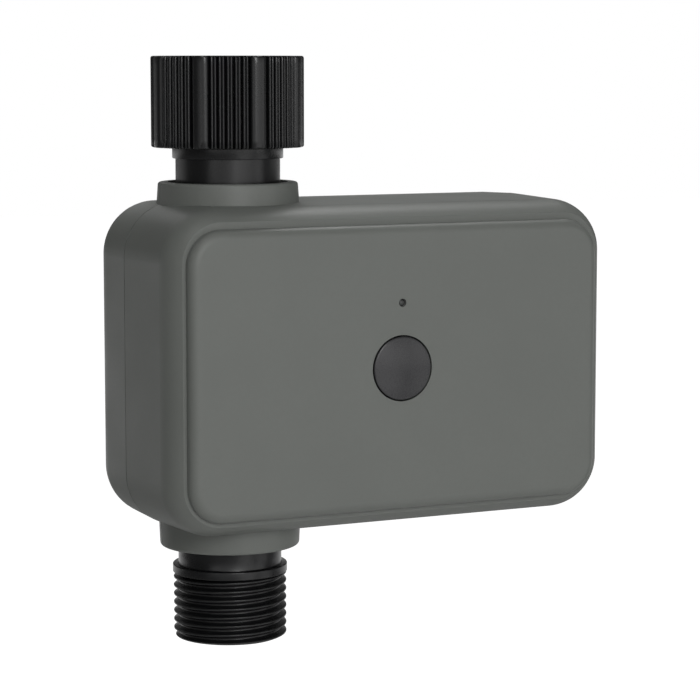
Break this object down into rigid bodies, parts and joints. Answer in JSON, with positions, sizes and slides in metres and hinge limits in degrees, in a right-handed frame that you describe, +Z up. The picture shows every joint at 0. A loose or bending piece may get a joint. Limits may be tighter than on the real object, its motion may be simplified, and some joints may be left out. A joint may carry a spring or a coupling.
{
  "type": "smart water timer",
  "caption": "Garden tap water timer: flat rounded housing with a push button, motorised ball valve, ribbed swivel inlet nut and threaded hose outlet.",
  "frame": {"origin": "on the valve's axis, in the mouth plane of the swivel nut", "axes": "+Z up along the valve's axis towards the tap, -Y out of the front panel, +X from the valve along the housing"},
  "size_m": [0.1156, 0.0547, 0.138],
  "materials": {
    "housing_plastic": "satin moulded, fine grain",
    "fitting_plastic": "satin moulded",
    "button_plastic": "satin moulded",
    "light_lens": "frosted",
    "seal_rubber": "matt",
    "washer_rubber": "matt",
    "seat_plastic": "smooth",
    "steel": "turned",
    "ball_metal": "polished",
    "gear_plastic": "smooth",
    "board": "solder mask",
    "dark_part": "smooth",
    "capacitor_sleeve": "shrink sleeve",
    "header_plastic": "smooth",
    "cell_wrap": "printed-free wrap",
    "screen_plastic": "smooth",
    "radio_can": "plain"
  },
  "bodies": {
    "housing": {"front_cover": "housing_plastic", "rear_housing": "housing_plastic", "seam_seal": "seal_rubber", "door_seal": "seal_rubber", "button_seal": "seal_rubber", "neck_seals": "seal_rubber", "tube_seals": "seal_rubber", "case_screws": "steel", "board_screws": "steel", "gearbox_screws": "steel", "gear_pin": "steel", "gear_motor": "steel", "contact_plates": "steel", "battery_springs": "steel", "battery_cells": "cell_wrap", "switch_body": "dark_part", "light_pipe": "light_lens", "status_light": "seat_plastic", "main_board": "board", "radio_module": "radio_can", "capacitor": "capacitor_sleeve", "board_connectors": "header_plastic", "inlet_tube": "fitting_plastic", "outlet_tube": "fitting_plastic", "inlet_washer": "washer_rubber", "filter_screen": "screen_plastic", "valve_body": "fitting_plastic", "ball_seats": "seat_plastic", "gearbox_case": "dark_part", "gearbox_cover": "dark_part"},
    "nut": {"swivel_nut": "fitting_plastic"},
    "button": {"button_cap": "button_plastic", "switch_plunger": "dark_part"},
    "door": {"battery_door": "housing_plastic", "door_screws": "steel"},
    "valve": {"valve_ball": "ball_metal", "valve_stem": "steel", "stem_seals": "seal_rubber", "output_gear": "gear_plastic"},
    "compound": {"compound_gear": "gear_plastic"},
    "drive": {"motor_pinion": "gear_plastic", "motor_shaft": "steel"}
  },
  "joints": [
    {"name": "nut_swivel", "type": "hinge", "parent": "housing", "child": "nut", "pos_m": [0, 0, 0], "axis": [0, 0, 1], "continuous": true},
    {"name": "button_press", "type": "slide", "parent": "housing", "child": "button", "axis": [0, 1, 0], "range_m": [0, 0.0005], "stiffness_N_per_m": 2000},
    {"name": "door_lift", "type": "slide", "parent": "housing", "child": "door", "axis": [0, 1, 0], "range_m": [0, 0.03]},
    {"name": "valve_turn", "type": "hinge", "parent": "housing", "child": "valve", "pos_m": [0, 0, -0.052], "axis": [1, 0, 0], "range_deg": [0, 90]},
    {"name": "compound_turn", "type": "hinge", "parent": "housing", "child": "compound", "pos_m": [0.0264, 0.0105, -0.04618], "axis": [1, 0, 0], "range_deg": [-270, 0]},
    {"name": "drive_turn", "type": "hinge", "parent": "housing", "child": "drive", "pos_m": [0.03, 0.01262, -0.05616], "axis": [1, 0, 0], "range_deg": [0, 648]}
  ],
  "couplings": [
    {"joint": "compound_turn", "follows": "valve_turn", "ratio": -3},
    {"joint": "drive_turn", "follows": "valve_turn", "ratio": 7.2}
  ]
}
